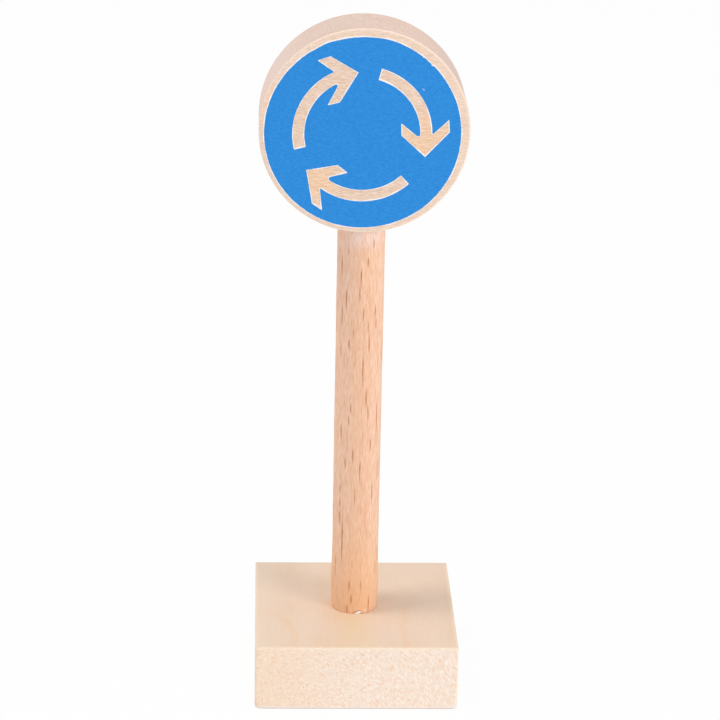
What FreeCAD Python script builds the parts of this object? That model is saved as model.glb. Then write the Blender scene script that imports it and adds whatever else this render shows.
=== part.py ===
import FreeCAD, Part
import math
import os

# A small wooden toy roundabout sign: a square block, a round post glued into it, and a thick
# round disc glued onto the post. The disc's front carries a printed blue field that leaves
# three clockwise arrows and a border in bare wood.
# The origin is the centre of the block's underside, +Z is up and the printed face looks to -Y.

# Driving sizes, in millimetres and degrees

# The block under the sign, and the wood left below its hole
BLOCK_WIDTH = 43.5
BLOCK_DEPTH = 43.5
BLOCK_HEIGHT = 14.6
BLOCK_FLOOR = 4.6
BLOCK_TOP_ARRIS = 0.15
BLOCK_FOOT_ARRIS = 0.8
BLOCK_CORNER_ARRIS = 0.45

# The post, cut from stock dowel, and its bare length between block and disc
POST_DIAMETER = 10.0
POST_SHOWN = 88.1
POST_END_CHAMFER = 0.6

# The disc, and the hole drilled into its rim for the post
DISC_DIAMETER = 43.4
DISC_THICKNESS = 13.2
DISC_ARRIS = 0.4
DISC_HOLE_DEPTH = 12.5

# The glue between post and holes, and past each end of the post
GLUE_LINE = 0.1
GLUE_POOL = 0.4

# The chip torn out of the post's foot, and the bead of glue squeezed into it
CHIP_RADIUS = 0.8
CHIP_DEPTH = 0.35
CHIP_BEARING = 277.0
BEAD_RADIUS = 0.6
BEAD_PROUD = 0.3

# The printed field and the bare wood around it
PRINT_THICKNESS = 0.08
PRINT_BORDER = 1.55
PRINT_SIDE_SHIFT = -0.38
PRINT_HEIGHT_SHIFT = -0.31

# The ring that the arrows' strokes follow, as far inside the print's edge as ARROW_MARGIN
ARROW_MARGIN = 7.03
ARROW_STROKE = 2.55
ARROW_SIDE_SHIFT = -0.08
ARROW_HEIGHT_SHIFT = -0.18
ARROW_CORNER_RADIUS = 0.1

# The arrows' heads: two barbs at a right angle, their ends cut parallel to the head's middle
BARB_SPREAD = 45.0
BARB_LENGTH = 7.0
BARB_END_WIDTH = 1.92
BARB_ROOT_WIDTH = 2.3
NOTCH_RADIUS = 0.35

# The arrows were drawn by hand, so each has bearings and barbs of its own. Bearings run
# anticlockwise from the right, and a head's bearing points from its tip back along its middle.
# tip_out is how far the tip lies outside the ring, in strokes, and inner and outer are the
# lengths of the two barbs, in barb lengths.
ARROWS = [
    {"tail": 312.4, "tip": 213.9, "tip_out": 0.26, "head": 325.0, "inner": 0.94, "outer": 1.04},
    {"tail": 194.6, "tip": 94.2, "tip_out": -0.03, "head": 194.6, "inner": 1.055, "outer": 0.953},
    {"tail": 75.2, "tip": 339.7, "tip_out": 0.28, "head": 92.3, "inner": 0.97, "outer": 1.009},
]

# Sizes that follow from the driving sizes
POST_RADIUS = POST_DIAMETER / 2
HOLE_RADIUS = POST_RADIUS + GLUE_LINE
DISC_RADIUS = DISC_DIAMETER / 2
DISC_LOWEST = BLOCK_HEIGHT + POST_SHOWN
DISC_CENTRE = DISC_LOWEST + DISC_RADIUS
DISC_FRONT = -DISC_THICKNESS / 2
POST_BOTTOM = BLOCK_FLOOR + GLUE_POOL
POST_TOP = DISC_LOWEST + DISC_HOLE_DEPTH - GLUE_POOL
PRINT_RADIUS = DISC_RADIUS - PRINT_BORDER
ARROW_RING_RADIUS = PRINT_RADIUS - ARROW_MARGIN
ARROW_INNER_RADIUS = ARROW_RING_RADIUS - ARROW_STROKE / 2
ARROW_OUTER_RADIUS = ARROW_RING_RADIUS + ARROW_STROKE / 2

# How far a cutting shape runs past what it cuts, and the slack for picking edges
OVERRUN = 1.0
PICK = 0.001

ORIGIN = FreeCAD.Vector(0, 0, 0)
AXIS_X = FreeCAD.Vector(1, 0, 0)
AXIS_Y = FreeCAD.Vector(0, 1, 0)
AXIS_Z = FreeCAD.Vector(0, 0, 1)


def face_point(radius, bearing):
    """Point of the XZ plane at a radius and a bearing, anticlockwise from the right."""
    angle = math.radians(bearing)
    return FreeCAD.Vector(radius * math.cos(angle), 0, radius * math.sin(angle))


def rounded_face(corners):
    """Flat face in the XZ plane through (point, radius) corners, each rounded by its radius."""
    rounds = []
    for index, (here, radius) in enumerate(corners):
        back = (corners[index - 1][0] - here).normalize()
        ahead = (corners[(index + 1) % len(corners)][0] - here).normalize()
        half_angle = back.getAngle(ahead) / 2
        reach = radius / math.tan(half_angle)
        depth = radius / math.sin(half_angle) - radius
        middle = here + (back + ahead).normalize() * depth
        rounds.append((here + back * reach, middle, here + ahead * reach))
    edges = []
    for index, (start, middle, end) in enumerate(rounds):
        next_start = rounds[(index + 1) % len(rounds)][0]
        edges.append(Part.Arc(start, middle, end).toShape())
        edges.append(Part.LineSegment(end, next_start).toShape())
    return Part.Face(Part.Wire(edges))


def rounded_bar(width, height, low_radius, high_radius, length):
    """Bar along Y, centred on it and standing on Z = 0, with a rounded rectangular section."""
    half = width / 2
    section = rounded_face([
        (FreeCAD.Vector(-half, 0, 0), low_radius),
        (FreeCAD.Vector(half, 0, 0), low_radius),
        (FreeCAD.Vector(half, 0, height), high_radius),
        (FreeCAD.Vector(-half, 0, height), high_radius),
    ])
    section.translate(AXIS_Y * (-length / 2))
    return section.extrude(AXIS_Y * length)


def hole_shape(floor, top):
    """Upright cylinder with the width of the holes for the post, between two heights."""
    return Part.makeCylinder(HOLE_RADIUS, top - floor, FreeCAD.Vector(0, 0, floor))


def circles_of(shape):
    """The full circular edges of a plain cylinder."""
    return [edge for edge in shape.Edges if isinstance(edge.Curve, Part.Circle)]


def base_block():
    """Block with crisp upper arrises, eased lower ones and a blind hole from above."""
    front = rounded_bar(
        BLOCK_WIDTH, BLOCK_HEIGHT, BLOCK_FOOT_ARRIS, BLOCK_TOP_ARRIS, BLOCK_DEPTH)
    side = rounded_bar(
        BLOCK_DEPTH, BLOCK_HEIGHT, BLOCK_FOOT_ARRIS, BLOCK_TOP_ARRIS, BLOCK_WIDTH)
    side.rotate(ORIGIN, AXIS_Z, 90)
    plan = rounded_bar(
        BLOCK_WIDTH, BLOCK_DEPTH, BLOCK_CORNER_ARRIS, BLOCK_CORNER_ARRIS, BLOCK_HEIGHT)
    plan.rotate(ORIGIN, AXIS_X, 90)
    plan.translate(FreeCAD.Vector(0, BLOCK_DEPTH / 2, BLOCK_HEIGHT / 2))
    block = front.common(side).common(plan)
    return block.cut(hole_shape(BLOCK_FLOOR, BLOCK_HEIGHT + OVERRUN))


def foot_point(distance):
    """Point at the block's top, towards the chip, at a distance from the post's middle."""
    angle = math.radians(CHIP_BEARING)
    return FreeCAD.Vector(distance * math.cos(angle), distance * math.sin(angle), BLOCK_HEIGHT)


def post():
    """Dowel with both ends chamfered and a chip out of its foot."""
    dowel = Part.makeCylinder(
        POST_RADIUS, POST_TOP - POST_BOTTOM, FreeCAD.Vector(0, 0, POST_BOTTOM))
    dowel = dowel.makeChamfer(POST_END_CHAMFER, circles_of(dowel))
    chip = Part.makeSphere(CHIP_RADIUS, foot_point(POST_RADIUS - CHIP_DEPTH + CHIP_RADIUS))
    return dowel.cut(chip)


def disc_blank():
    """Disc before its hole is drilled, with both arrises rounded, standing on its rim."""
    blank = Part.makeCylinder(
        DISC_RADIUS, DISC_THICKNESS, FreeCAD.Vector(0, DISC_FRONT, DISC_CENTRE), AXIS_Y)
    return blank.makeFillet(DISC_ARRIS, circles_of(blank))


def sign_disc():
    """Disc with the blind hole that its rim has for the post."""
    hole = hole_shape(DISC_LOWEST - OVERRUN, DISC_LOWEST + DISC_HOLE_DEPTH)
    return disc_blank().cut(hole)


def foot_glue():
    """Glue around and under the post in the block, and the bead in the chip at its foot."""
    bead = Part.makeSphere(BEAD_RADIUS, foot_point(POST_RADIUS + BEAD_PROUD - BEAD_RADIUS))
    above = Part.makeCylinder(POST_DIAMETER, BLOCK_HEIGHT, FreeCAD.Vector(0, 0, BLOCK_HEIGHT))
    glue = hole_shape(BLOCK_FLOOR, BLOCK_HEIGHT).fuse(bead.common(above))
    return glue.cut(post())


def head_glue():
    """Glue around and over the post in the disc, flush with the disc's rim."""
    hole = hole_shape(DISC_LOWEST - OVERRUN, DISC_LOWEST + DISC_HOLE_DEPTH)
    return disc_blank().common(hole).cut(post())


def arrow_stroke(tail, end):
    """Curved stroke of an arrow, clockwise from its tail's bearing to its end's, flat in XZ."""
    middle = (tail + end) / 2
    outer = Part.Arc(
        face_point(ARROW_OUTER_RADIUS, tail),
        face_point(ARROW_OUTER_RADIUS, middle),
        face_point(ARROW_OUTER_RADIUS, end))
    inner = Part.Arc(
        face_point(ARROW_INNER_RADIUS, end),
        face_point(ARROW_INNER_RADIUS, middle),
        face_point(ARROW_INNER_RADIUS, tail))
    across_end = Part.LineSegment(
        face_point(ARROW_OUTER_RADIUS, end), face_point(ARROW_INNER_RADIUS, end))
    across_tail = Part.LineSegment(
        face_point(ARROW_INNER_RADIUS, tail), face_point(ARROW_OUTER_RADIUS, tail))
    outline = [outer.toShape(), across_end.toShape(), inner.toShape(), across_tail.toShape()]
    return Part.Face(Part.Wire(outline))


def arrow(sizes):
    """One arrow as a plate of the print's thickness about the arrows' ring, standing at Y = 0."""
    tip = face_point(ARROW_RING_RADIUS + sizes["tip_out"] * ARROW_STROKE, sizes["tip"])
    inward = face_point(1, sizes["head"] + BARB_SPREAD)
    outward = face_point(1, sizes["head"] - BARB_SPREAD)
    inner_corner = tip + inward * (sizes["inner"] * BARB_LENGTH)
    outer_corner = tip + outward * (sizes["outer"] * BARB_LENGTH)
    end_cut = (inward + outward) * BARB_END_WIDTH
    crotch = tip + (inward + outward) * BARB_ROOT_WIDTH
    outline = [
        tip,
        inner_corner,
        inner_corner + end_cut,
        crotch,
        outer_corner + end_cut,
        outer_corner,
    ]
    head = rounded_face([(point, ARROW_CORNER_RADIUS) for point in outline])
    crotch_bearing = math.degrees(math.atan2(crotch.z, crotch.x)) % 360
    tail = sizes["tail"]
    end = crotch_bearing if crotch_bearing < tail else crotch_bearing - 360
    thickness = AXIS_Y * PRINT_THICKNESS
    plate = head.extrude(thickness).fuse(arrow_stroke(tail, end).extrude(thickness))
    return round_notches(plate.removeSplitter(), tail)


def round_notches(plate, tail):
    """Round the two inner corners where the stroke's sides run into the barbs."""
    notches = []
    for edge in plate.Edges:
        start, end = edge.Vertexes[0].Point, edge.Vertexes[-1].Point
        across = abs(start.y - end.y) > PICK
        radius = math.hypot(start.x, start.z)
        on_side = min(abs(radius - ARROW_INNER_RADIUS), abs(radius - ARROW_OUTER_RADIUS)) < PICK
        at_tail = face_point(radius, tail).distanceToPoint(FreeCAD.Vector(start.x, 0, start.z))
        if across and on_side and at_tail > ARROW_STROKE:
            notches.append(edge)
    return plate.makeFillet(NOTCH_RADIUS, notches)


def sign_print():
    """Printed field on the disc's front, with the three arrows left open."""
    centre = FreeCAD.Vector(
        PRINT_SIDE_SHIFT, DISC_FRONT - PRINT_THICKNESS, DISC_CENTRE + PRINT_HEIGHT_SHIFT)
    field = Part.makeCylinder(PRINT_RADIUS, PRINT_THICKNESS, centre, AXIS_Y)
    for sizes in ARROWS:
        opening = arrow(sizes)
        opening.translate(centre + AXIS_X * ARROW_SIDE_SHIFT + AXIS_Z * ARROW_HEIGHT_SHIFT)
        field = field.cut(opening)
    return field


PIECES = {
    "base_block": base_block,
    "post": post,
    "sign_disc": sign_disc,
    "sign_print": sign_print,
    "foot_glue": foot_glue,
    "head_glue": head_glue,
}

os.makedirs("parts", exist_ok=True)
for name, make in PIECES.items():
    shape = make()
    shape.exportStep("parts/" + name + ".step")
    print(name, "solids", len(shape.Solids), "valid", shape.isValid(), "mm3", round(shape.Volume, 2))
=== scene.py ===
import math
import bmesh
import bpy
from mathutils import Matrix, Vector, noise


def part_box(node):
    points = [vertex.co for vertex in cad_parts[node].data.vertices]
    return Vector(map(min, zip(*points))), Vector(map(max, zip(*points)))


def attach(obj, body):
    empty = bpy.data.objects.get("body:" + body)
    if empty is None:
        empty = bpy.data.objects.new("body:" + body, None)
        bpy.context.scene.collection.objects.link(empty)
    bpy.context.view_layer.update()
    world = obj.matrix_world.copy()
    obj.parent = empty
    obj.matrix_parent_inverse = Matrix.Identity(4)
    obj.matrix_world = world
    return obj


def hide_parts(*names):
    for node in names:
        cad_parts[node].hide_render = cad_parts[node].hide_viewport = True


# A small wooden toy roundabout sign: a square block, a round post glued into it and a thick
# round disc glued onto the post, with a blue field and three arrows printed on its front.
# It is dressed in the order in which it was put together, from the block up.
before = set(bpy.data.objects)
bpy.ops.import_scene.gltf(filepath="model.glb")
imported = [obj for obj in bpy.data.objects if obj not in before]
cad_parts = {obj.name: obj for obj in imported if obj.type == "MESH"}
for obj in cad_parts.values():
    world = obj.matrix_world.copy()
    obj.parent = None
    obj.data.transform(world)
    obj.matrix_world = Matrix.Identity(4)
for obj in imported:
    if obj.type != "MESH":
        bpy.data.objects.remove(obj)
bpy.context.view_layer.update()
scene = bpy.context.scene


# The block
# A square length of pale, planed hardwood, sawn through at the front and back, so that its end
# grain shows there. Sanding left its upper arrises nearly sharp, its lower ones rounder and four
# of its corners worn. A blind hole from above takes the post.

MM = 0.001
DEGREE = math.radians(1)
RIGHT = Vector((1, 0, 0))
BACK = Vector((0, 1, 0))
UP = Vector((0, 0, 1))
block_low, block_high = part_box("base_block")
foot_glue_low, foot_glue_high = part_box("foot_glue")
hole_radius = foot_glue_high.x
TOP_ARRIS = 0.15 * MM
FOOT_ARRIS = 0.25 * MM
CORNER_ARRIS = 0.45 * MM
CORNER_ROOM = 0.4 * MM
BLOCK_UNEVENNESS = 0.02 * MM
HOLE_FACETS = 128
MESH_STEP = 2 * MM
SHARP_ANGLE = 40 * DEGREE
# How far behind an arris the painted highlight and sanded fluff begin to fade, and where they end
ARRIS_FADE = (0.12 * MM, 0.4 * MM)
# Each worn corner: its side from the left, its side from the front, whether it is an upper one,
# how far the wear reaches and how deep it is
WORN_CORNERS = [
    (-1, -1, True, 2.2 * MM, 0.3 * MM),
    (-1, -1, False, 1.6 * MM, 0.5 * MM),
    (1, -1, False, 1.2 * MM, 0.35 * MM),
    (1, 1, False, 1.4 * MM, 0.3 * MM),
]


def all_of(bm):
    """All the parts of a bmesh."""
    return bm.verts[:] + bm.edges[:] + bm.faces[:]


def verts_in(parts):
    """The vertices among some parts of a bmesh."""
    return [part for part in parts if isinstance(part, bmesh.types.BMVert)]


def rims(bm, axis):
    """The edges that lie square to an axis, as a cylinder's rims do."""
    return [edge for edge in bm.edges
            if abs((edge.verts[0].co - edge.verts[1].co).dot(axis)) < 0.1 * MM]


def round_over(bm, parts, reach, steps, kind="EDGES"):
    """Round these edges, or these corners of a flat face, off over a reach."""
    bmesh.ops.bevel(
        bm, geom=parts, offset=reach, segments=steps, profile=0.5, affect=kind, material=-1)


def cut_across(bm, axis, places):
    """Run a loop of edges round a mesh at each of these places along an axis."""
    for place in places:
        bmesh.ops.bisect_plane(
            bm, geom=all_of(bm), dist=0.0001 * MM, plane_co=axis * place, plane_no=axis)


def spaced(start, end, step):
    """Places from start to end, evenly spaced and about a step apart."""
    count = max(1, round((end - start) / step))
    return [start + (end - start) * number / count for number in range(count + 1)]


def smooth_step(low, high, value):
    """0 below low, 1 above high, and a soft rise between."""
    share = min(max((value - low) / (high - low), 0), 1)
    return share * share * (3 - 2 * share)


def wear(bm, unevenness, patch):
    """Sand a surface slightly hollow here and there, in patches."""
    bm.normal_update()
    for vert in bm.verts:
        hollow = 0.5 + 0.5 * noise.noise(vert.co / patch)
        vert.co -= vert.normal * unevenness * hollow


def mark_arris(bm, depths):
    """Keep on each vertex how near an arris it is, from its depths behind the sides."""
    layer = bm.verts.layers.float.new("arris")
    for vert in bm.verts:
        second = sorted(depths(vert.co))[1]
        vert[layer] = 1 - smooth_step(*ARRIS_FADE, second)


def shade(mesh):
    """Make a mesh's faces smooth, and part them at sharp edges."""
    mesh.shade_smooth()
    mesh.set_sharp_from_angle(angle=SHARP_ANGLE)


def make_piece(bm, name):
    """Turn a bmesh into an object in the scene."""
    bmesh.ops.recalc_face_normals(bm, faces=bm.faces)
    mesh = bpy.data.meshes.new(name)
    bm.to_mesh(mesh)
    bm.free()
    shade(mesh)
    piece = bpy.data.objects.new(name, mesh)
    scene.collection.objects.link(piece)
    return piece


def combine(piece, tool, how):
    """Cut a tool's shape out of a piece, or join it on, and put the tool away."""
    step = piece.modifiers.new("combine", "BOOLEAN")
    step.operation = how
    step.solver = "EXACT"
    step.object = tool
    seen = piece.evaluated_get(bpy.context.evaluated_depsgraph_get())
    piece.data = bpy.data.meshes.new_from_object(seen)
    shade(piece.data)
    piece.modifiers.clear()
    bpy.data.objects.remove(tool)


def cylinder(radius, length, facets, place):
    """A bmesh with a cylinder in it, moved and turned by a place."""
    bm = bmesh.new()
    bmesh.ops.create_cone(
        bm, cap_ends=True, segments=facets, radius1=radius, radius2=radius, depth=length,
        matrix=place)
    return bm


def upright(radius, bottom, top, facets):
    """A bmesh with a cylinder round the post's axis, between two heights."""
    return cylinder(radius, top - bottom, facets, Matrix.Translation(UP * (bottom + top) / 2))


def drill(bottom, top):
    """A round rod to cut the post's holes with."""
    return make_piece(upright(hole_radius, bottom, top, HOLE_FACETS), "drill")


def block_depths(co):
    """How deep a point lies behind each pair of the block's sides."""
    across = block_high.x - abs(co.x)
    along = block_high.y - abs(co.y)
    return across, along, min(block_high.z - co.z, co.z - block_low.z)


def rounded_levels(radius, steps):
    """How far in and how far up each step of a rounded lower edge lies."""
    angles = [math.pi / 2 * step / steps for step in range(steps + 1)]
    return [(radius * (1 - math.sin(angle)), radius * (1 - math.cos(angle))) for angle in angles]


def grow_block():
    """Grow the block from its underside, level by level, with rounded corners."""
    levels = [(inset, block_low.z + up) for inset, up in rounded_levels(FOOT_ARRIS, steps=5)]
    upper = [(inset, block_high.z - up) for inset, up in rounded_levels(TOP_ARRIS, steps=3)]
    levels += reversed(upper)
    half = block_high.x
    bm = bmesh.new()
    bmesh.ops.create_grid(bm, x_segments=1, y_segments=1, size=half - levels[0][0])
    round_over(bm, bm.verts[:], CORNER_ARRIS, 4, "VERTICES")
    bmesh.ops.translate(bm, verts=bm.verts, vec=UP * levels[0][1])
    outline = all_of(bm)
    for (inset, height), (next_inset, next_height) in zip(levels, levels[1:]):
        outline = bmesh.ops.extrude_face_region(bm, geom=outline)["geom"]
        verts = verts_in(outline)
        share = (half - next_inset) / (half - inset)
        bmesh.ops.scale(bm, verts=verts, vec=(share, share, 1))
        bmesh.ops.translate(bm, verts=verts, vec=UP * (next_height - height))
    return bm


bm = grow_block()
held = CORNER_ARRIS + CORNER_ROOM
inner = block_high.x - held
for axis in (RIGHT, BACK):
    near_edge = [-inner, held - inner, inner - held, inner]
    cut_across(bm, axis, near_edge + spaced(2 * held - inner, inner - 2 * held, MESH_STEP))
cut_across(bm, UP, spaced(block_low.z + FOOT_ARRIS + 0.2 * MM, block_high.z - held, MESH_STEP))
for side, way, upper, reach, depth in WORN_CORNERS:
    corner = Vector((side * block_high.x, way * block_high.y, block_high.z if upper else block_low.z))
    inward = Vector((-side, -way, -1 if upper else 1)).normalized()
    for vert in bm.verts:
        closeness = 1 - min(1, (vert.co - corner).length / reach)
        vert.co += inward * depth * closeness ** 2
wear(bm, BLOCK_UNEVENNESS, patch=9 * MM)
mark_arris(bm, block_depths)
block = make_piece(bm, "block")
combine(block, drill(foot_glue_low.z, block_high.z + MM), "DIFFERENCE")


def screen_colour(red, green, blue):
    """A material's linear colour, from one as a screen shows it in 255ths."""
    parts = [part / 255 for part in (red, green, blue)]
    linear = [part / 12.92 if part < 0.04 else ((part + 0.055) / 1.055) ** 2.4 for part in parts]
    return (*linear, 1)


def put(tree, kind, feeds, **settings):
    """Add a shader node with these settings, and link or set its inputs."""
    node = tree.nodes.new("ShaderNode" + kind)
    for name, value in settings.items():
        setattr(node, name, value)
    for label, feed in feeds.items():
        if isinstance(feed, bpy.types.NodeSocket):
            tree.links.new(feed, node.inputs[label])
        else:
            node.inputs[label].default_value = feed
    return node


def work_out(tree, operation, first, second=0.0):
    """What a math operation makes of one or two numbers."""
    return put(tree, "Math", {0: first, 1: second}, operation=operation).outputs[0]


def times(tree, first, second):
    """Two numbers multiplied."""
    return work_out(tree, "MULTIPLY", first, second)


def off_from(tree, value, middle):
    """How far a value is from a middle one, either way."""
    return work_out(tree, "ABSOLUTE", work_out(tree, "SUBTRACT", value, middle))


def work_out_place(tree, operation, first, second):
    """What a vector operation makes of two vectors."""
    return put(tree, "VectorMath", {0: first, 1: second}, operation=operation).outputs[0]


def between(tree, value, low, high, start=0.0, end=1.0):
    """A value's soft rise from start to end while it goes from low to high."""
    feeds = {"Value": value, "From Min": low, "From Max": high, "To Min": start, "To Max": end}
    return put(tree, "MapRange", feeds, interpolation_type="SMOOTHSTEP").outputs["Result"]


def falling(tree, value, low, high):
    """1 below low, 0 above high, and a soft fall between."""
    return between(tree, value, low, high, 1.0, 0.0)


def layer_on(tree, share, under, over):
    """One colour laid over another by a share."""
    return put(tree, "Mix", {0: share, 6: under, 7: over}, data_type="RGBA").outputs[2]


def tinted(tree, colour, *tints):
    """A colour with screen colours laid over it, each by a mask and a share of it."""
    for mask, share, tint in tints:
        colour = layer_on(tree, times(tree, mask, share), colour, screen_colour(*tint))
    return colour


def parts_of(tree, place):
    """A place's X, Y and Z."""
    return put(tree, "SeparateXYZ", {0: place}).outputs


def soft_noise(tree, place, fineness, detail, roughness=0.5):
    """Soft noise over the places."""
    feeds = {"Vector": place, "Scale": fineness, "Detail": detail, "Roughness": roughness}
    return put(tree, "TexNoise", feeds).outputs["Fac"]


def distance_in(tree, place, plane):
    """How far a place lies from the origin within a plane."""
    flat = work_out_place(tree, "MULTIPLY", place, plane)
    return put(tree, "VectorMath", {0: flat}, operation="LENGTH").outputs["Value"]


def marked(tree, name):
    """A mask that was kept on the mesh's own vertices."""
    return put(tree, "Attribute", {}, attribute_name=name).outputs["Fac"]


def stretched(tree, place, width, depth, length):
    """Places measured in widths, depths and lengths of the figure's own parts."""
    parts = put(tree, "CombineXYZ", {"X": width, "Y": depth, "Z": length}).outputs[0]
    return work_out_place(tree, "DIVIDE", place, parts)


def begin_group(name, inputs, outputs):
    """Begin a shader node group with these sockets, and give its two ends."""
    group = bpy.data.node_groups.new(name, "ShaderNodeTree")
    for way, labels in (("INPUT", inputs), ("OUTPUT", outputs)):
        for label in labels:
            kind = "Vector" if label == "Place" else "Float"
            group.interface.new_socket(label, in_out=way, socket_type="NodeSocket" + kind)
    inner = group.nodes.new("NodeGroupInput").outputs
    outer = group.nodes.new("NodeGroupOutput").inputs
    return group, inner, outer


def drifted(tree, place, fineness, reach):
    """A place pushed about by soft noise, so that straight grain comes out wavy."""
    swirl = put(tree, "TexNoise", {"Vector": place, "Scale": fineness, "Detail": 1.0})
    push = work_out_place(tree, "SUBTRACT", swirl.outputs["Color"], (0.5, 0.5, 0.5))
    push = put(tree, "VectorMath", {0: push, "Scale": reach}, operation="SCALE").outputs[0]
    return work_out_place(tree, "ADD", place, push)


# Between these lie most of the values of a noise
NOISE_SPREAD = (0.32, 0.68)


def make_grain_group():
    """Solid wood about a pith at the origin, grown along Z, in millimetres: rings and fibres."""
    group, given, result = begin_group(
        "wood_grain",
        ["Place", "Waver", "Ripple", "Ring spacing", "Fibre width", "Fibre length"],
        ["Place", "Rings", "Fibres", "Cloud"])
    place = drifted(group, given["Place"], 0.06, given["Waver"])
    place = drifted(group, place, 0.25, given["Ripple"])
    group.links.new(place, result["Place"])
    from_pith = distance_in(group, place, (1, 1, 0))
    year = work_out(group, "DIVIDE", from_pith, given["Ring spacing"])
    rings = put(group, "TexNoise", {"W": year, "Scale": 1.0, "Detail": 1.0}, noise_dimensions="1D")
    group.links.new(between(group, rings.outputs["Fac"], 0.38, 0.62), result["Rings"])
    along = stretched(
        group, place, given["Fibre width"], given["Fibre width"], given["Fibre length"])
    fibres = soft_noise(group, along, 1.0, 2.0, roughness=0.6)
    group.links.new(between(group, fibres, *NOISE_SPREAD), result["Fibres"])
    cloud = soft_noise(group, place, 0.12, 2.0)
    group.links.new(between(group, cloud, 0.35, 0.65), result["Cloud"])
    return group


def make_ray_group():
    """Wood rays, thin ribbons out from the pith: scattered dark ones and fine ones."""
    group, given, result = begin_group(
        "wood_rays",
        ["Place", "Pith distance", "Ray width", "Ray depth", "Ray height", "Ray share"],
        ["Rays", "Fine rays"])
    parts = parts_of(group, given["Place"])
    from_pith = distance_in(group, given["Place"], (1, 1, 0))
    bearing = work_out(group, "ARCTAN2", parts["Y"], parts["X"])
    round_pith = times(group, bearing, given["Pith distance"])
    ribbon = put(
        group, "CombineXYZ", {"X": round_pith, "Y": from_pith, "Z": parts["Z"]}).outputs[0]
    ribbon = stretched(
        group, ribbon, given["Ray width"], given["Ray depth"], given["Ray height"])
    ragged = drifted(group, ribbon, 0.9, 0.7)
    cells = put(group, "TexVoronoi", {"Vector": ragged, "Scale": 0.4, "Randomness": 1.0})
    near = falling(group, cells.outputs["Distance"], 0.2, 0.32)
    chance = put(group, "SeparateColor", {0: cells.outputs["Color"]}).outputs
    scarce = work_out(group, "SUBTRACT", given["Ray share"], chance["Red"])
    shown = between(group, scarce, 0.0, 0.25)
    group.links.new(times(group, near, shown), result["Rays"])
    fine = soft_noise(group, ribbon, 1.0, 1.0)
    group.links.new(between(group, fine, *NOISE_SPREAD), result["Fine rays"])
    return group


def turned_to(tree, here, axis):
    """1 where a surface faces along an axis, either way, and a soft fall to 0 beside that."""
    facing = put(tree, "VectorMath", {0: here["Normal"], 1: axis}, operation="DOT_PRODUCT")
    return between(tree, work_out(tree, "ABSOLUTE", facing.outputs["Value"]), 0.45, 0.9)


def sanded_arris_and_highlight(tree, place):
    """Fluffed wood and a painted highlight along a sanded arris, broken up along its length."""
    broken = between(tree, soft_noise(tree, place, 0.7, 2.0), 0.25, 0.6, 0.35, 1.0)
    return times(tree, marked(tree, "arris"), broken)


def place_group(tree, group, feeds):
    """Put a finished group into a tree, and give its outputs."""
    return put(tree, "Group", feeds, node_tree=group).outputs


def new_material(name):
    """A material with its tree and its shader's inputs."""
    material = bpy.data.materials.new(name)
    material.use_nodes = True
    return material, material.node_tree, material.node_tree.nodes["Principled BSDF"].inputs


def coordinates(tree):
    """A surface's own coordinates, with its Object and Normal sockets."""
    return put(tree, "TexCoord", {}).outputs


def in_millimetres(tree, here, turn=(0, 0, 0), pith=(0, 0, 0)):
    """A place in millimetres, turned so that the grain is Z and moved so that the pith is 0."""
    feeds = {"Vector": here["Object"], "Location": pith, "Rotation": turn, "Scale": (1 / MM,) * 3}
    return put(tree, "Mapping", feeds).outputs[0]


def finish(tree, surface, colour, mask, smooth, dull, low=0.0, high=1.0):
    """Give a surface its colour, and a roughness from smooth to dull by a mask."""
    tree.links.new(colour, surface["Base Color"])
    tree.links.new(between(tree, mask, low, high, smooth, dull), surface["Roughness"])


def raise_by(tree, height, depth, surface):
    """Roughen a surface by a height mask, to a depth in metres."""
    bump = put(tree, "Bump", {"Height": height, "Strength": 1.0, "Distance": depth})
    tree.links.new(bump.outputs[0], surface["Normal"])


grain_group = make_grain_group()
ray_group = make_ray_group()


# The block's wood is measured in millimetres from its pith: X to the right, Y down and Z to the
# back. A vein has the middle and the reach of the oval that it follows, and a width in shares of
# that reach. Each pair says where a tone begins and ends.
GRAIN_TO_BACK = (90 * DEGREE, 0, 0)
BLOCK_PITH = (-10, 50, 0)
END_PITH = (41, -67, 0)
FRONT_VEINS = [
    ((-31.5, 0, -20.5), (8.7, 1, 17.2), 0.11),
    ((25.4, 0, -14.0), (25.0, 1, 60.0), 0.05),
]
BACK_VEIN = ((-34.6, 0, -58.0), (70.0, 1, 70.0), 0.007)
FRONT_VEINS_END = (-5.0, 3.0)
BACK_VEIN_END = (-16.0, -13.0)
HEART_MIDDLE = -10.5
HEART_REACH = (1.0, 6.0)
LEFT_SIDE = (-31.0, -24.0)
LEFT_THIRD = (-32.0, -8.0)
# Along the back arris, painted shade takes the place of the painted highlight
BACK_ARRIS_SHADE = (20.5, 21.6)
# Near the foot, painted light reflected up from the table
FOOT_BOUNCE_LIGHT = (49.2, 49.7)
# Along the lower arris, painted contact shade
FOOT_CONTACT_SHADE = (49.6, 49.8)


def within(tree, place, middle, reach, turn=(0, 0, 0)):
    """A place measured from an oval's middle, in shares of its reach along each axis."""
    feeds = {"Vector": place, "Location": middle, "Rotation": turn, "Scale": reach}
    return put(tree, "Mapping", feeds, vector_type="TEXTURE").outputs[0]


def vein(tree, place, middle, reach, width):
    """A thin wavy line in the wood, round an oval with this middle and reach."""
    out = distance_in(tree, within(tree, place, middle, reach), (1, 0, 1))
    return falling(tree, off_from(tree, out, 1.0), 0.0, width)


def block_veins(tree, place, parts):
    """The veins that curve over the block's top."""
    wavy = drifted(tree, place, 0.35, 2.5)
    front = work_out(tree, "MAXIMUM", *[vein(tree, wavy, *shape) for shape in FRONT_VEINS])
    front_end = falling(tree, parts["Z"], *FRONT_VEINS_END)
    back_end = falling(tree, parts["X"], *BACK_VEIN_END)
    back = times(tree, vein(tree, wavy, *BACK_VEIN), back_end)
    return work_out(tree, "MAXIMUM", times(tree, front, front_end), back)


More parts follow.
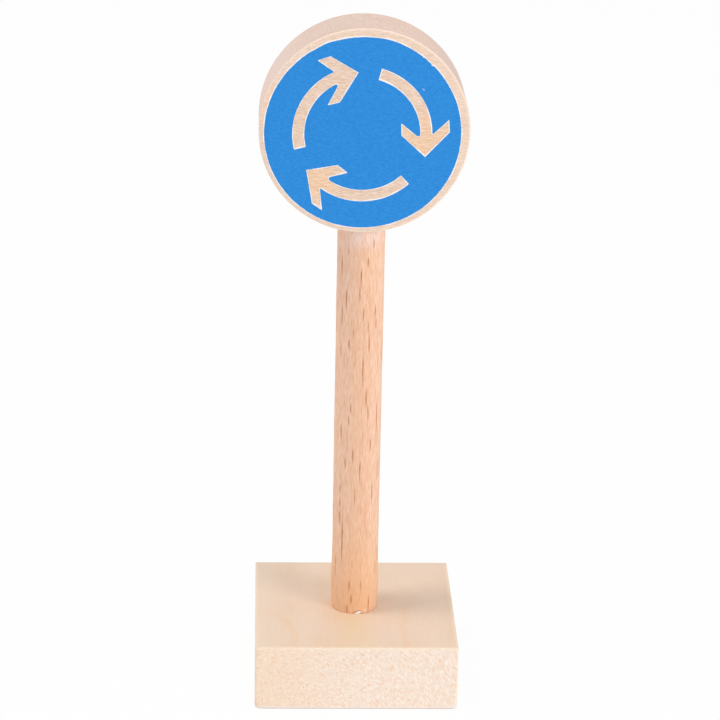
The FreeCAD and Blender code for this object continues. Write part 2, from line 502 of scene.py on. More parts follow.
def make_block_wood():
    """Smooth long grain on top, and speckled end grain at the front and back."""
    material, tree, surface = new_material("block_wood")
    here = coordinates(tree)
    place = in_millimetres(tree, here, GRAIN_TO_BACK, BLOCK_PITH)
    parts = parts_of(tree, place)
    grain = place_group(tree, grain_group, {
        "Place": place, "Waver": 3.0, "Ripple": 0.5, "Ring spacing": 5.0,
        "Fibre width": 0.3, "Fibre length": 5.0})
    # The front's flecks lie along the growth rings, round a pith below it and to its left
    from_pith = drifted(tree, work_out_place(tree, "ADD", place, END_PITH), 0.3, 1.2)
    lines = place_group(tree, ray_group, {
        "Place": from_pith, "Pith distance": 40.0, "Ray width": 0.8,
        "Ray depth": 0.3, "Ray height": 2.0})["Fine rays"]
    flecks = place_group(tree, ray_group, {
        "Place": drifted(tree, from_pith, 1.5, 0.8), "Pith distance": 40.0,
        "Ray width": 0.66, "Ray depth": 0.4, "Ray height": 2.0, "Ray share": 1.1})["Rays"]
    mottled = between(tree, soft_noise(tree, grain["Place"], 1.1, 2.0), 0.42, 0.62)
    from_heart = off_from(tree, parts["X"], HEART_MIDDLE)
    ends = turned_to(tree, here, BACK)
    arris = sanded_arris_and_highlight(tree, place)

    long_grain = tinted(
        tree, screen_colour(236, 210, 187),
        (grain["Rings"], 0.5, (233, 201, 171)),
        (grain["Fibres"], 0.3, (225, 195, 167)),
        (grain["Cloud"], 0.3, (237, 212, 192)),
        (falling(tree, from_heart, *HEART_REACH), 0.5, (236, 208, 170)),
        (block_veins(tree, place, parts), 0.42, (235, 197, 162)),
        (falling(tree, parts["X"], *LEFT_SIDE), 0.45, (236, 217, 199)))
    end_wood = tinted(
        tree, screen_colour(254, 244, 234),
        (falling(tree, parts["X"], *LEFT_THIRD), 1.0, (252, 232, 210)),
        (mottled, 0.3, (241, 210, 186)),
        (grain["Fibres"], 0.35, (238, 206, 180)),
        (lines, 0.7, (240, 210, 187)),
        (flecks, 0.45, (239, 197, 156)))
    wood = layer_on(tree, ends, long_grain, end_wood)
    # Along the arrises, a painted highlight that is partly sanded fluff, and painted shade along the
    # back arris
    arris_light_and_shade = tinted(
        tree, screen_colour(251, 233, 205),
        (between(tree, parts["Z"], *BACK_ARRIS_SHADE), 1.0, (214, 184, 160)))
    wood = layer_on(tree, times(tree, arris, 0.5), wood, arris_light_and_shade)
    # Painted contact shade along the lower arris
    # Painted light reflected up from the table on the lowest strip of the sides
    wood = tinted(
        tree, wood,
        (between(tree, parts["Y"], *FOOT_BOUNCE_LIGHT), 0.8, (248, 236, 230)),
        (between(tree, parts["Y"], *FOOT_CONTACT_SHADE), 0.75, (197, 176, 166)))
    finish(tree, surface, wood, ends, 0.6, 0.85)
    raise_by(tree, layer_on(tree, ends, grain["Fibres"], lines), 0.02 * MM, surface)
    return material


block.data.materials.append(make_block_wood())
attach(block, "root")
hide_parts("base_block")


# The post
# A length of stock beech dowel with both ends chamfered, glued into the block. The cutter left
# its skin very slightly wavy. Driving it home tore a chip out of its foot at the front, and
# pushed up a curl of fibres beside the chip.

post_low, post_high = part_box("post")
post_radius = post_high.x
block_top = block_high.z
disc_low, disc_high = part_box("sign_disc")
POST_CHAMFER = 0.6 * MM
POST_UNEVENNESS = 0.07 * MM
POST_WAVE = 9 * MM
FINE_STEP = 0.1 * MM
CHIP_START = -0.6 * MM
CHIP_END = 1.25 * MM
CHIP_DEPTH = 0.33 * MM
CHIP_HEIGHT = 0.3 * MM
CHIP_RISE = 0.55 * MM
CHIP_LIP = 0.12 * MM
# Where along its length, in shares of it, the chip reaches its full depth and loses it again
CHIP_RUN_IN = (0, 0.3)
CHIP_RUN_OUT = (0.88, 1.08)
CURL_PLACE = (2.25 * MM, 0.42 * MM)
CURL_REACH = (0.7 * MM, 0.6 * MM)
CURL_HEIGHT = 0.2 * MM
SWELL_PLACE = 6.5 * MM
SWELL_REACH = 6.5 * MM
SWELL_HEIGHT = 0.13 * MM
# Each dark spindle that faces the front: its bearing from the front in degrees, its height and
# length in millimetres, and how dark it is
SPINDLES = [
    (-37, 32.1, 9.4, 1.1), (51, 60.3, 6.3, 1.1), (8, 71.6, 6.8, 1.05), (60, 47.6, 5.0, 1.0),
    (40, 43.2, 4.0, 1.2), (-53, 94.2, 4.6, 1.15), (-50, 83.4, 4.2, 1.15), (5.5, 48.3, 4.2, 1.15),
    (22.5, 77.6, 4.3, 0.95), (69, 74.7, 4.9, 0.85), (36, 16.4, 4.1, 1.1), (-3, 88.6, 3.3, 1.0),
    (23, 61.7, 3.2, 1.05), (-46, 56.8, 3.2, 1.1), (-37, 87.2, 3.6, 1.15), (-47, 36.9, 3.5, 0.95),
    (71, 27.6, 3.0, 1.1), (0, 92.4, 3.5, 1.0), (-12, 51.9, 2.8, 1.0), (17.6, 64.9, 4.4, 0.95),
    (38, 84.6, 2.7, 0.95), (-59, 25.1, 4.5, 1.0), (32, 54.2, 3.0, 1.05), (30, 99.6, 2.0, 1.1),
    (-27, 77.3, 2.2, 1.0), (-10, 18.1, 2.2, 1.0), (-46, 40.2, 2.1, 1.0), (-52, 75.2, 2.5, 0.85),
    (7, 84.2, 2.7, 1.0), (-15, 21.3, 2.6, 0.9), (-20, 15.5, 1.9, 1.2), (16, 95.8, 2.0, 0.95),
    (41, 81.8, 2.3, 0.95), (20, 81.2, 2.4, 0.8), (-17, 79.6, 1.8, 0.75), (57, 79.3, 1.6, 0.85),
    (-20, 62.8, 2.0, 0.85), (-25, 60.0, 2.2, 0.8), (-33, 98.2, 2.0, 0.65), (-6, 42.5, 3.6, 0.65),
    (-32, 49.9, 2.6, 0.85), (-46, 43.6, 2.0, 0.85), (13, 21.4, 2.4, 0.6), (58, 24.7, 3.0, 0.9),
]


def chip_depth(along, rise):
    """How deep the chip is at a place on the post's foot, right of the front and up."""
    share = (along - CHIP_START) / (CHIP_END - CHIP_START)
    if not 0 < share < CHIP_RUN_OUT[1]:
        return 0
    top_edge = CHIP_HEIGHT + CHIP_RISE * share ** 0.8
    inside = 1 - smooth_step(top_edge - CHIP_LIP, top_edge, rise)
    ends = smooth_step(*CHIP_RUN_IN, share) * (1 - smooth_step(*CHIP_RUN_OUT, share))
    return CHIP_DEPTH * inside * ends


def curl_height(along, rise):
    """How proud the curl of torn fibres stands beside the chip."""
    across = (along - CURL_PLACE[0]) / CURL_REACH[0]
    upwards = (rise - CURL_PLACE[1]) / CURL_REACH[1]
    return CURL_HEIGHT * max(0, 1 - across ** 2 - upwards ** 2)


bm = upright(post_radius, post_low.z, post_high.z, facets=256)
round_over(bm, rims(bm, UP), POST_CHAMFER, steps=1)
cut_across(bm, UP, spaced(block_top - 0.2 * MM, block_top + 1.6 * MM, FINE_STEP))
cut_across(bm, UP, spaced(block_top + MESH_STEP, disc_low.z, MESH_STEP))
torn = bm.verts.layers.float.new("torn")
# How deep the chip is, kept for the painted shade in its hollow
chip_shade = bm.verts.layers.float.new("chip_shade")
for vert in bm.verts:
    rise = vert.co.z - block_top
    if vert.co.z < block_top - MM or vert.co.z > disc_low.z:
        continue
    outward = Vector((vert.co.x, vert.co.y, 0)).normalized()
    along = post_radius * math.atan2(vert.co.x, -vert.co.y)
    wave = noise.noise(Vector((outward.x * 2, outward.y * 2, vert.co.z / POST_WAVE)))
    skin = POST_UNEVENNESS * (wave + 0.3)
    skin += SWELL_HEIGHT * (1 - smooth_step(0, SWELL_REACH, abs(rise - SWELL_PLACE)))
    curl = curl_height(along, rise)
    chip = chip_depth(along, rise)
    vert[torn] = curl / CURL_HEIGHT
    vert[chip_shade] = chip / CHIP_DEPTH
    vert.co += outward * (skin + curl - chip)
post = make_piece(bm, "dowel_post")


# Heights in millimetres and bearings from the front, between which a tone of the post changes
DOWEL_PITH = (6, -70, 0)
LISTED_SPINDLES = (65 * DEGREE, 85 * DEGREE)
# Heights over which painted warm bounce light and shade from the block's top fade out
WARM_BOUNCE_FOOT = (16.0, 44.0)
PALE_HEAD = (96.5, 102.0)
PALE_MIDDLE = 6 * DEGREE
PALE_FRONT = (30 * DEGREE, 65 * DEGREE)
FOOT_SEAM = (block_top / MM, block_top / MM + 0.4)


def spot(tree, place, middle, reach, turn=(0, 0, 0)):
    """1 in the middle of an oval, falling to 0 at its reach."""
    oval = within(tree, place, middle, reach, turn)
    return put(tree, "TexGradient", {"Vector": oval}, gradient_type="SPHERICAL").outputs["Fac"]


def spindle(tree, skin, bearing, height, length, strength):
    """One dark spindle, a slim lens on the post's skin unrolled in millimetres."""
    around = math.radians(bearing) * post_radius / MM
    lens = spot(tree, skin, (around, height, 0), (0.2, 0.8 * length, 1))
    return between(tree, lens, 0.0, 0.7, 0.0, strength)


def make_dowel_wood():
    """Beech: fine upright fibres, and dark spindles where its rays meet the skin."""
    material, tree, surface = new_material("dowel_wood")
    here = coordinates(tree)
    place = in_millimetres(tree, here, pith=DOWEL_PITH)
    height = parts_of(tree, place)["Z"]
    grain = place_group(tree, grain_group, {
        "Place": place, "Waver": 0.5, "Ripple": 0.1, "Ring spacing": 2.2,
        "Fibre width": 0.12, "Fibre length": 2.0})
    fibres = grain["Fibres"]
    rays = place_group(tree, ray_group, {
        "Place": grain["Place"], "Pith distance": 66.0, "Ray width": 0.17,
        "Ray depth": 0.3, "Ray height": 3.2, "Ray share": 0.95})

    parts = parts_of(tree, here["Object"])
    to_front = times(tree, parts["Y"], -1.0)
    bearing = work_out(tree, "ARCTAN2", parts["X"], to_front)
    around = times(tree, bearing, post_radius / MM)
    skin = put(tree, "CombineXYZ", {"X": around, "Y": height}).outputs[0]
    skin = drifted(tree, skin, 0.6, 0.15)
    spindles = 0.0
    for mark in SPINDLES:
        spindles = work_out(tree, "MAXIMUM", spindles, spindle(tree, skin, *mark))
    spindles = times(tree, spindles, between(tree, fibres, 0.1, 0.6, 0.65, 1.0))
    unlisted = between(tree, work_out(tree, "ABSOLUTE", bearing), *LISTED_SPINDLES, 0.2, 0.9)
    scattered = times(tree, rays["Rays"], unlisted)
    dark = work_out(tree, "MAXIMUM", spindles, scattered)

    # Painted warm bounce light and shade from the block's top, on the post's lower part
    warm_bounce = times(
        tree, falling(tree, height, *WARM_BOUNCE_FOOT),
        between(tree, fibres, 0.2, 0.8, 1.0, 0.5))
    pale = times(
        tree, between(tree, height, *PALE_HEAD),
        between(tree, off_from(tree, bearing, PALE_MIDDLE), *PALE_FRONT, 1.0, 0.3))
    pale = times(tree, pale, between(tree, fibres, 0.1, 0.8, 1.0, 0.3))
    # The chip's hollow is darkened with painted shade
    wood = tinted(
        tree, screen_colour(251, 215, 189),
        (grain["Rings"], 1.0, (249, 208, 179)),
        (fibres, 0.78, (225, 168, 132)),
        (rays["Fine rays"], 0.3, (232, 178, 142)),
        (warm_bounce, 0.5, (243, 186, 127)),
        (pale, 0.95, (241, 221, 213)),
        (dark, 1.0, (186, 112, 72)),
        (between(tree, marked(tree, "torn"), 0.0, 0.6), 0.35, (250, 216, 198)),
        (between(tree, marked(tree, "chip_shade"), 0.1, 0.6), 0.4, (190, 128, 82)),
        (falling(tree, height, *FOOT_SEAM), 0.45, (196, 138, 94)))
    finish(tree, surface, wood, fibres, 0.5, 0.7)
    raise_by(tree, work_out(tree, "SUBTRACT", fibres, dark), 0.02 * MM, surface)
    return material


post.data.materials.append(make_dowel_wood())
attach(post, "root")
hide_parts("post")


# The glue at the foot
# White wood glue that was spread in the block's hole. It fills the gap round the post to just
# below the block's top, lies in a pool under the post's end, and has squeezed out into the chip.

GLUE_SINK = 0.04 * MM
BEAD_WIDTH = 1.7 * MM
BEAD_DEPTH = 0.72 * MM
BEAD_HEIGHT = 0.74 * MM
BEAD_SINK = 0.11 * MM
BEAD_THIN_END = 0.3
BEAD_BEARING = 6.1 * DEGREE
CHIP_FLOOR = post_radius - 0.16 * MM


def turn_profile(points, name):
    """A solid turned about the post's axis, from (radius, height) points."""
    bm = bmesh.new()
    verts = [bm.verts.new((radius, 0, height)) for radius, height in points]
    edges = [bm.edges.new(pair) for pair in zip(verts, verts[1:])]
    bmesh.ops.spin(
        bm, geom=verts + edges, cent=(0, 0, 0), axis=UP, angle=2 * math.pi, steps=HOLE_FACETS,
        use_merge=True)
    bmesh.ops.remove_doubles(bm, verts=bm.verts, dist=0.001 * MM)
    return make_piece(bm, name)


glue_top = block_top - GLUE_SINK
pool_top = post_low.z
foot_glue = turn_profile([
    (0, foot_glue_low.z), (hole_radius, foot_glue_low.z), (hole_radius, glue_top),
    (post_radius, glue_top), (post_radius, pool_top + POST_CHAMFER),
    (post_radius - POST_CHAMFER, pool_top), (0, pool_top)], "foot_glue_film")
bm = bmesh.new()
bmesh.ops.create_uvsphere(bm, u_segments=40, v_segments=24, radius=1)
for vert in bm.verts:
    fatness = BEAD_THIN_END + (1 - BEAD_THIN_END) * smooth_step(-1, 0.6, vert.co.x)
    vert.co = Vector((
        BEAD_WIDTH / 2 * vert.co.x,
        BEAD_DEPTH / 2 * vert.co.y * fatness,
        BEAD_HEIGHT / 2 * (vert.co.z + 1) * fatness - BEAD_SINK))
bmesh.ops.translate(bm, verts=bm.verts, vec=UP * block_top - BACK * CHIP_FLOOR)
bmesh.ops.rotate(bm, verts=bm.verts, matrix=Matrix.Rotation(BEAD_BEARING, 3, "Z"))
combine(foot_glue, make_piece(bm, "bead"), "UNION")


def make_wood_glue():
    """Dried white glue: shiny, slightly yellowed, with a few dull specks of dust."""
    material, tree, surface = new_material("wood_glue")
    specks = soft_noise(tree, in_millimetres(tree, coordinates(tree)), 3.0, 3.0)
    dusty = between(tree, specks, 0.55, 0.72)
    colour = tinted(tree, screen_colour(255, 244, 240), (dusty, 1.0, (244, 222, 208)))
    finish(tree, surface, colour, dusty, 0.22, 0.5)
    raise_by(tree, specks, 0.03 * MM, surface)
    return material


wood_glue = make_wood_glue()
foot_glue.data.materials.append(wood_glue)
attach(foot_glue, "root")
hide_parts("foot_glue")


# The disc
# A slice of pale hardwood cut out with a hole saw and sanded, with the grain across its face.
# Both arrises are lightly rounded, and a hole drilled into its rim takes the post.

disc_centre = (disc_low + disc_high) / 2
disc_radius = (disc_high.x - disc_low.x) / 2
disc_half = disc_high.y
head_hole_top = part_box("head_glue")[1].z
DISC_ARRIS = 0.4 * MM
DISC_UNEVENNESS = 0.02 * MM
# Widths of the rings of mesh on its faces, from the rim inwards
FACE_RINGS = (0.35 * MM, 2 * MM, 4 * MM, 5 * MM, 5 * MM)
# Middle from the disc's own, and reach, of each warmer patch of its face
WARM_PATCHES = [
    (Vector((13.0 * MM, -disc_half, -1.0 * MM)), 8.5 * MM),
    (Vector((-9.5 * MM, -disc_half, -11.0 * MM)), 6.0 * MM),
    (Vector((-20.0 * MM, -disc_half, 6.0 * MM)), 6.5 * MM),
]


def lying_at(place):
    """A turn onto the side, to face the front, and then a move to a place."""
    return Matrix.Translation(place) @ Matrix.Rotation(90 * DEGREE, 4, "X")


def disc_depths(co):
    """How deep a point lies behind the disc's rim and behind its nearer face."""
    from_axis = math.hypot(co.x - disc_centre.x, co.z - disc_centre.z)
    return disc_radius - from_axis, disc_half - abs(co.y)


bm = cylinder(disc_radius, 2 * disc_half, 320, lying_at(disc_centre))
round_over(bm, rims(bm, BACK), DISC_ARRIS, steps=4)
held = disc_half - DISC_ARRIS - 0.3 * MM
cut_across(bm, BACK, spaced(-held, held, MESH_STEP))
faces = [face for face in bm.faces if len(face.verts) > 4]
for thickness in FACE_RINGS:
    bmesh.ops.inset_individual(bm, faces=faces, thickness=thickness, use_even_offset=True)
wear(bm, DISC_UNEVENNESS, patch=8 * MM)
mark_arris(bm, disc_depths)
disc = make_piece(bm, "disc")
combine(disc, drill(disc_low.z - MM, head_hole_top), "DIFFERENCE")


GRAIN_TO_RIGHT = (0, -90 * DEGREE, 0)
DISC_PITH = (disc_centre.z / MM, -52, 0)
BORDER = (disc_radius - 1.3 * MM, disc_radius - 0.7 * MM)
RIM_SIDES = (-0.8 * disc_radius, 0.8 * disc_radius)


def make_disc_wood():
    """Pale wood, with short, nearly level fibres on the face and a duller, pinker rim."""
    material, tree, surface = new_material("disc_wood")
    here = coordinates(tree)
    parts = parts_of(tree, here["Object"])
    place = in_millimetres(tree, here, GRAIN_TO_RIGHT, DISC_PITH)
    grain = place_group(tree, grain_group, {
        "Place": place, "Waver": 1.5, "Ripple": 0.16, "Ring spacing": 3.0,
        "Fibre width": 0.14, "Fibre length": 1.3})
    fibres = grain["Fibres"]
    rays = place_group(tree, ray_group, {
        "Place": grain["Place"], "Pith distance": 45.0, "Ray width": 0.24,
        "Ray depth": 3.0, "Ray height": 1.2, "Ray share": 0.6})
    ends = turned_to(tree, here, RIGHT)
    faces = turned_to(tree, here, BACK)
    arris = sanded_arris_and_highlight(tree, place)

    wood = tinted(
        tree, screen_colour(246, 226, 211),
        (grain["Rings"], 1.0, (242, 218, 198)),
        (fibres, 0.78, (208, 174, 150)),
        (rays["Fine rays"], 0.26, (237, 194, 157)),
        (rays["Rays"], 0.35, (219, 174, 136)))
    warm_wood = tinted(tree, screen_colour(253, 213, 174), (fibres, 1.0, (231, 186, 144)))
    for middle, reach in WARM_PATCHES:
        patch = spot(tree, here["Object"], disc_centre + middle, (reach,) * 3)
        wood = layer_on(tree, between(tree, patch, 0.0, 0.7, 0.0, 0.6), wood, warm_wood)
    back_figure = times(tree, grain["Rings"], between(tree, parts["Y"], 0.0, MM))
    from_middle = put(
        tree, "VectorMath", {0: here["Object"], 1: disc_centre}, operation="DISTANCE")
    wood = tinted(
        tree, wood,
        (back_figure, 0.3, (226, 190, 158)),
        (between(tree, from_middle.outputs["Value"], *BORDER), 0.2, (253, 230, 213)))

    rim_wood = tinted(
        tree, screen_colour(239, 217, 203),
        (fibres, 0.9, (210, 177, 160)),
        (grain["Cloud"], 0.3, (222, 188, 168)))
    end_wood = tinted(
        tree, screen_colour(234, 210, 200),
        (between(tree, parts["X"], *RIM_SIDES), 1.0, (223, 196, 184)),
        (fibres, 0.7, (214, 184, 170)))
    rim_wood = layer_on(tree, ends, rim_wood, end_wood)
    wood = layer_on(tree, faces, rim_wood, wood)
    # Along the arrises, a painted highlight that is partly sanded fluff
    wood = tinted(tree, wood, (arris, 0.62, (253, 237, 219)))
    finish(tree, surface, wood, fibres, 0.55, 0.75)
    raise_by(tree, fibres, 0.01 * MM, surface)
    return material


disc.data.materials.append(make_disc_wood())
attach(disc, "root")
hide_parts("sign_disc")


# The glue at the head
# The same glue fills the disc's hole round and over the post's upper end. It lies flush with
# the rim and shows only as a hair line from below.

head_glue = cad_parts["head_glue"]
head_glue.data.materials.clear()
head_glue.data.materials.append(wood_glue)


# The print
# Blue ink screen-printed on the disc's front over a white undercoat, which peeps out as a hair
# line all round. The stencil kept a border and three clockwise arrows free, so they show the
# wood. It was cut by hand, so no two arrows are quite alike and the field's edge has nicks.

print_low, print_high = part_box("sign_print")
print_radius = (print_high.x - print_low.x) / 2
print_middle = (print_low + print_high) / 2
ARROW_RING = 13.12 * MM
STROKE = 2.55 * MM
ARROW_SHIFT = Vector((-0.08 * MM, 0, -0.18 * MM))
BARB_SPREAD = 45
BARB_LENGTH = 7.0 * MM
BARB_END = 1.92 * MM
BARB_ROOT = 2.3 * MM
STROKE_OVERLAP = 3
HEAD_ROUNDING = 0.1 * MM
INNER_NOTCH_ROUNDING = 0.45 * MM
OUTER_NOTCH_ROUNDING = 0.15 * MM
NOTCH_REACH = 1.1 * MM
NOTCH_ANGLE = 80 * DEGREE
CORNER_ANGLE = 150 * DEGREE
# Bearings in degrees, anticlockwise from the right, of the arrow's start, its tip and the way
# that its head points back. Then the tip's distance outside the ring in strokes, the lengths of
# the inner and the outer barb in barb lengths, and their widths in barb widths.
ARROWS = [
    (313.2, 213.9, 325.0, 0.26, 0.94, 1.05, 1.09, 1.0),
    (193.8, 94.2, 194.6, -0.03, 1.05, 0.953, 1.0, 1.15),
    (75.2, 339.7, 92.3, 0.28, 0.97, 1.05, 1.0, 1.05),
]
# Bearing, width and depth of each nick or bump in the field's edge, in degrees and millimetres
NICKS = [(46.3, 1.3, 0.24), (48.5, 3.5, 0.08), (53.4, 0.9, 0.1), (33, 13.0, 0.07),
         (74, 18.0, -0.13), (111, 9.0, -0.1), (310, 25.0, -0.06)]
EDGE_WANDER = 0.025 * MM
SCUFF_PLACE = Vector((12.2 * MM, 0, 9.4 * MM))
SCUFF_REACH = (0.55 * MM, 1 * MM, 0.22 * MM)
SCUFF_TURN = (0, 35 * DEGREE, 0)
# How far each film runs out over the stencil's lines, and how far and over what length its edge
# wanders there
INK_SPREAD = 0.03 * MM
INK_BLEED = (0.05 * MM, 0.25 * MM)
UNDERCOAT_SPREAD = 0.22 * MM
UNDERCOAT_BLEED = (0.19 * MM, 2.2 * MM)
BLEED_STEP = 0.25 * MM
UNDERCOAT_SHIFT = Vector((-0.035 * MM, 0, 0.045 * MM))
UNDERCOAT_THICKNESS = 0.04 * MM


def on_face(radius, bearing):
    """A point of the printed face at a radius and bearing from the field's middle."""
    angle = math.radians(bearing)
    return print_middle + Vector((radius * math.cos(angle), 0, radius * math.sin(angle)))


def bearing_of(arm):
    """The bearing of an arm from the field's middle."""
    return math.degrees(math.atan2(arm.z, arm.x)) % 360


def edge_nick(bearing):
    """How far the field's edge stands in at a bearing."""
    wander = EDGE_WANDER * noise.noise(Vector((bearing / 5, 0, 7.3)))
    for place, width, depth in NICKS:
        closeness = max(0, 1 - abs(bearing - place) / width)
        wander += depth * MM * smooth_step(0, 1, closeness)
    return wander


def thicken(bm, front, back):
    """Make a flat sheet into a plate between two distances along Y."""
    for vert in bm.verts:
        vert.co.y = front
    grown = bmesh.ops.extrude_face_region(bm, geom=bm.faces[:])["geom"]
    bmesh.ops.translate(bm, verts=verts_in(grown), vec=BACK * (back - front))


def arrow_stroke(tail, turn):
    """An arrow's curved stroke, as a plate that turns clockwise from its tail."""
    bm = bmesh.new()
    ends = [bm.verts.new(on_face(ARROW_RING + side * STROKE / 2, tail)) for side in (-1, 1)]
    bmesh.ops.spin(
        bm, geom=ends + [bm.edges.new(ends)], cent=print_middle, axis=BACK,
        angle=math.radians(turn), steps=48)
    thicken(bm, -MM, MM)
    return make_piece(bm, "stroke")


def arrow_head(corners):
    """An arrow's head, as a plate."""
    bm = bmesh.new()
    bm.faces.new([bm.verts.new(corner) for corner in corners])
    thicken(bm, -MM, MM)
    return make_piece(bm, "head")


def loops_round(bm):
    """The corners of a bmesh's one flat face, in turn."""
    bm.normal_update()
    bm.faces.ensure_lookup_table()
    return bm.faces[0].loops


def round_corners(bm, chosen, radius, steps):
    """Round those corners of the one flat face that chosen picks."""
    corners = [(loop.vert, loop.calc_angle()) for loop in loops_round(bm) if chosen(loop)]
    for vert, angle in corners:
        round_over(bm, [vert], radius / math.tan(angle / 2), steps, "VERTICES")


def is_notch(loop):
    """Whether a corner is one of the notches between an arrow's stroke and its barbs."""
    return not loop.is_convex and loop.calc_angle() < NOTCH_ANGLE


def is_inner_notch(loop):
    """Whether a corner is the notch on the inside of an arrow's curve."""
    return is_notch(loop) and (loop.vert.co - print_middle).xz.length < ARROW_RING


def is_corner(loop):
    """Whether a corner stands out sharply."""
    return loop.is_convex and loop.calc_angle() < CORNER_ANGLE


def arrow_outline(arrow):
    """The outline of a whole arrow, as one flat face with sharp corners."""
    tail, tip_bearing, head_bearing, tip_out, inner, outer, inner_width, outer_width = arrow
    tip = on_face(ARROW_RING + tip_out * STROKE, tip_bearing)
    inward = on_face(1, head_bearing + BARB_SPREAD) - print_middle
    outward = on_face(1, head_bearing - BARB_SPREAD) - print_middle
    crotch = tip + (inward * outer_width + outward * inner_width) * BARB_ROOT
    inner_corner = tip + inward * inner * BARB_LENGTH
    outer_corner = tip + outward * outer * BARB_LENGTH
    inner_cut = (inward + outward * inner_width) * BARB_END
    outer_cut = (inward * outer_width + outward) * BARB_END
    turn = (tail - bearing_of(crotch - print_middle)) % 360 + STROKE_OVERLAP
    plate = arrow_stroke(tail, turn)
    combine(plate, arrow_head([
        tip, inner_corner, inner_corner + inner_cut, crotch, outer_corner + outer_cut,
        outer_corner]), "UNION")

    bm = bmesh.new()
    bm.from_mesh(plate.data)
    bpy.data.objects.remove(plate)
    others = [face for face in bm.faces if face.normal.y > -0.9]
    bmesh.ops.delete(bm, geom=others, context="FACES")
    bmesh.ops.dissolve_faces(bm, faces=bm.faces[:])
    return bm


def let_bleed(bm, bleed):
    """Let a flat face's edge wander, as ink does along the fibres."""
    reach, fineness = bleed
    for edge in [edge for edge in bm.edges if edge.calc_length() > 1.5 * BLEED_STEP]:
        cuts = round(edge.calc_length() / BLEED_STEP) - 1
        bmesh.ops.subdivide_edges(bm, edges=[edge], cuts=cuts)
    inward = [(loop.vert, loop.calc_tangent()) for loop in loops_round(bm)]
    for vert, direction in inward:
        vert.co += direction * reach * noise.noise(vert.co / fineness)


def arrow_cutter(arrow, shrink, bleed):
    """A whole arrow as a cutter, its corners rounded, smaller all round by shrink."""
    bm = arrow_outline(arrow)
    notches = [loop.vert for loop in loops_round(bm) if is_notch(loop)]
    near = [vert for vert in bm.verts if vert not in notches and any(
        (vert.co - notch.co).length < NOTCH_REACH for notch in notches)]
    bmesh.ops.dissolve_verts(bm, verts=near)
    round_corners(bm, is_inner_notch, INNER_NOTCH_ROUNDING, steps=6)
    round_corners(bm, is_notch, OUTER_NOTCH_ROUNDING, steps=6)
    bm.normal_update()
    edging = bmesh.ops.inset_individual(
        bm, faces=bm.faces[:], thickness=shrink, use_even_offset=True)["faces"]
    bmesh.ops.delete(bm, geom=edging, context="FACES")
    round_corners(bm, is_corner, HEAD_ROUNDING, steps=3)
    let_bleed(bm, bleed)
    thicken(bm, print_low.y - MM, print_high.y + MM)
    bmesh.ops.translate(bm, verts=bm.verts, vec=ARROW_SHIFT)
    return make_piece(bm, "arrow")


def print_film(name, spread, bleed, front):
    """A printed film, spread beyond the stencil's lines, with the arrows open."""
    bm = bmesh.new()
    bmesh.ops.create_circle(
        bm, cap_ends=True, segments=720, radius=print_radius + spread,
        matrix=lying_at(print_middle))
    for vert in bm.verts:
        arm = vert.co - print_middle
        vert.co -= arm.normalized() * edge_nick(bearing_of(arm))
    let_bleed(bm, bleed)
    thicken(bm, front, print_high.y)
    film = make_piece(bm, name)
    for arrow in ARROWS:
        combine(film, arrow_cutter(arrow, spread, bleed), "DIFFERENCE")
    return film


undercoat = print_film(
    "print_undercoat", UNDERCOAT_SPREAD, UNDERCOAT_BLEED, print_high.y - UNDERCOAT_THICKNESS)
undercoat.data.transform(Matrix.Translation(UNDERCOAT_SHIFT))
ink = print_film("blue_print", INK_SPREAD, INK_BLEED, print_low.y)


def make_undercoat():
    """Thin white primer, matt and a little uneven where it soaked into the wood."""
    material, tree, surface = new_material("white_undercoat")
    soaked = soft_noise(tree, in_millimetres(tree, coordinates(tree)), 1.5, 2.0)
    colour = tinted(
        tree, screen_colour(252, 247, 244),
        (between(tree, soaked, 0.45, 0.75), 1.0, (244, 230, 219)))
    finish(tree, surface, colour, soaked, 0.6, 0.8, 0.3, 0.7)
    return material


undercoat.data.materials.append(make_undercoat())
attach(undercoat, "root")


def make_blue_ink():
    """Satin blue ink, thin enough for the wood's fibres to show, with one scuff."""
    material, tree, surface = new_material("blue_ink")
    here = coordinates(tree)
    place = in_millimetres(tree, here, GRAIN_TO_RIGHT, DISC_PITH)
    fibres = place_group(tree, grain_group, {
        "Place": place, "Waver": 3.5, "Ripple": 0.6, "Ring spacing": 3.0,
        "Fibre width": 0.2, "Fibre length": 0.8})["Fibres"]
    scuff = spot(tree, here["Object"], print_middle + SCUFF_PLACE, SCUFF_REACH, SCUFF_TURN)
    ink = tinted(
        tree, screen_colour(37, 143, 222),
        (fibres, 1.0, (24, 130, 212)),
        (between(tree, scuff, 0.1, 0.6), 0.5, (190, 220, 240)))
    finish(tree, surface, ink, fibres, 0.42, 0.55)
    surface["Specular IOR Level"].default_value = 0.3
    raise_by(tree, fibres, 0.008 * MM, surface)
    return material


ink.data.materials.append(make_blue_ink())
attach(ink, "root")
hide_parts("sign_print")


# The table and the light
# The sign stands on a plain white surface in soft light: a bright room all round, one lamp high
# on the left, one broad lamp low on the right, and a weak one low behind the left.

FLOOR_SIZE = 6.0
FLOOR_DROP = 0.01 * MM
FLOOR_GLOW = 0.5
FLOOR_BRIGHTNESS = 0.955
FLOOR_COLOUR = (0.85, 0.85, 0.85, 1)
WHITE = (1, 1, 1, 1)
ROOM_STRENGTH = 0.65
ROOM_COLOUR = (0.965, 1.0, 1.05, 1)
LAMP_COLOUR = (1.05, 1.0, 0.92)
# Each lamp: its bearing from the front and its height in degrees, its size in metres and its
# brightness
LAMPS = [
    ("high_left", -83, 65, 0.25, 0.24),
    ("low_right", 48, 20, 0.45, 0.36),
    ("back_left", -105, 20, 0.30, 0.09),
]
LAMP_DISTANCE = 1.0
LAMP_AIM = UP * 50 * MM


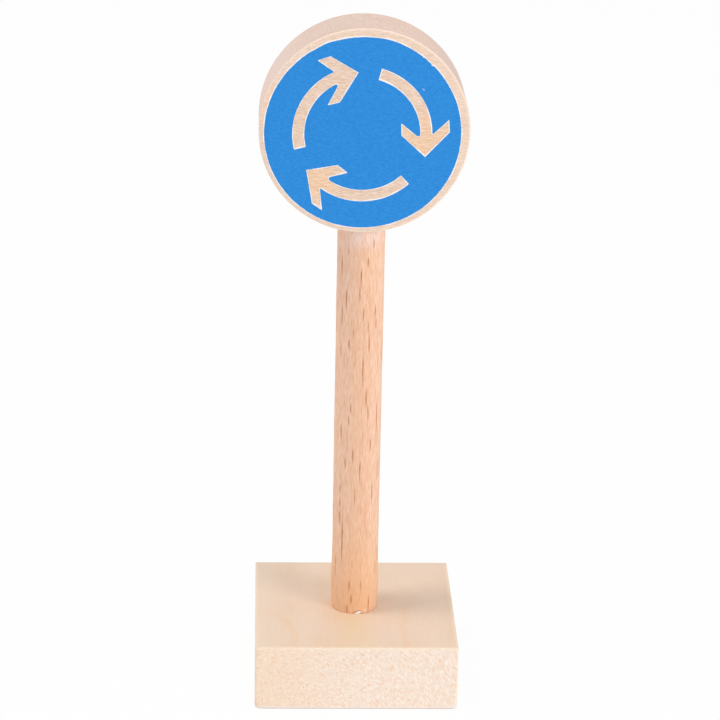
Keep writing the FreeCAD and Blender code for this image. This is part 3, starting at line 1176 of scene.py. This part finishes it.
def seen_directly(tree):
    """1 where a surface is looked at, also in a reflection, and 0 for the light it gives."""
    rays = put(tree, "LightPath", {}).outputs
    seen = work_out(tree, "MAXIMUM", rays["Is Camera Ray"], rays["Is Glossy Ray"])
    return work_out(tree, "MAXIMUM", seen, rays["Is Transmission Ray"])


bm = bmesh.new()
bmesh.ops.create_grid(bm, x_segments=1, y_segments=1, size=FLOOR_SIZE / 2)
bmesh.ops.translate(bm, verts=bm.verts, vec=UP * (block_low.z - FLOOR_DROP))
floor = make_piece(bm, "floor")
material, tree, surface = new_material("white_table")
surface["Base Color"].default_value = FLOOR_COLOUR
surface["Roughness"].default_value = 0.9
shaded = tree.nodes["Principled BSDF"].outputs[0]
glow = put(tree, "Emission", {"Color": WHITE, "Strength": 1.0}).outputs[0]
share = between(tree, seen_directly(tree), 0.0, 1.0, FLOOR_GLOW, FLOOR_BRIGHTNESS)
mixed = put(tree, "MixShader", {0: share, 1: shaded, 2: glow}).outputs[0]
tree.links.new(mixed, tree.nodes["Material Output"].inputs["Surface"])
floor.data.materials.append(material)

world = bpy.data.worlds.new("bright_room")
scene.world = world
world.use_nodes = True
tree = world.node_tree
seen = seen_directly(tree)
strength = between(tree, seen, 0.0, 1.0, ROOM_STRENGTH, 1.0)
tree.links.new(strength, tree.nodes["Background"].inputs["Strength"])
colour = layer_on(tree, seen, ROOM_COLOUR, WHITE)
tree.links.new(colour, tree.nodes["Background"].inputs["Color"])

for name, azimuth, elevation, size, level in LAMPS:
    lamp = bpy.data.lights.new(name, "AREA")
    lamp.shape = "DISK"
    lamp.size = size
    lamp.energy = level * (math.pi * LAMP_DISTANCE) ** 2
    lamp.color = LAMP_COLOUR
    stand = bpy.data.objects.new(name, lamp)
    turn, tilt = math.radians(azimuth), math.radians(elevation)
    towards = Vector((
        math.sin(turn) * math.cos(tilt), -math.cos(turn) * math.cos(tilt), math.sin(tilt)))
    stand.location = LAMP_AIM + towards * LAMP_DISTANCE
    stand.rotation_euler = (-towards).to_track_quat("-Z", "Y").to_euler()
    scene.collection.objects.link(stand)


# The camera
# It looks down on the sign from the front, a little from its left, through a long lens.

CAMERA_PLACE = Vector((-21.9, -566.7, 286.26)) * MM
CAMERA_PITCH = 20.6925 * DEGREE
CAMERA_TURN = -2.2381 * DEGREE
CAMERA_ROLL = 1.1596 * DEGREE
CAMERA_LENS = 142.175
SENSOR_WIDTH = 36
camera = bpy.data.objects.new("camera", bpy.data.cameras.new("camera"))
camera.data.lens = CAMERA_LENS
camera.data.sensor_width = SENSOR_WIDTH
level_turn = Matrix.Rotation(CAMERA_TURN, 4, "Z") @ Matrix.Rotation(
    90 * DEGREE - CAMERA_PITCH, 4, "X")
roll = Matrix.Rotation(CAMERA_ROLL, 4, "Z")
camera.matrix_world = Matrix.Translation(CAMERA_PLACE) @ level_turn @ roll
scene.collection.objects.link(camera)
bpy.context.scene.camera = camera
scene.view_settings.view_transform = "Standard"
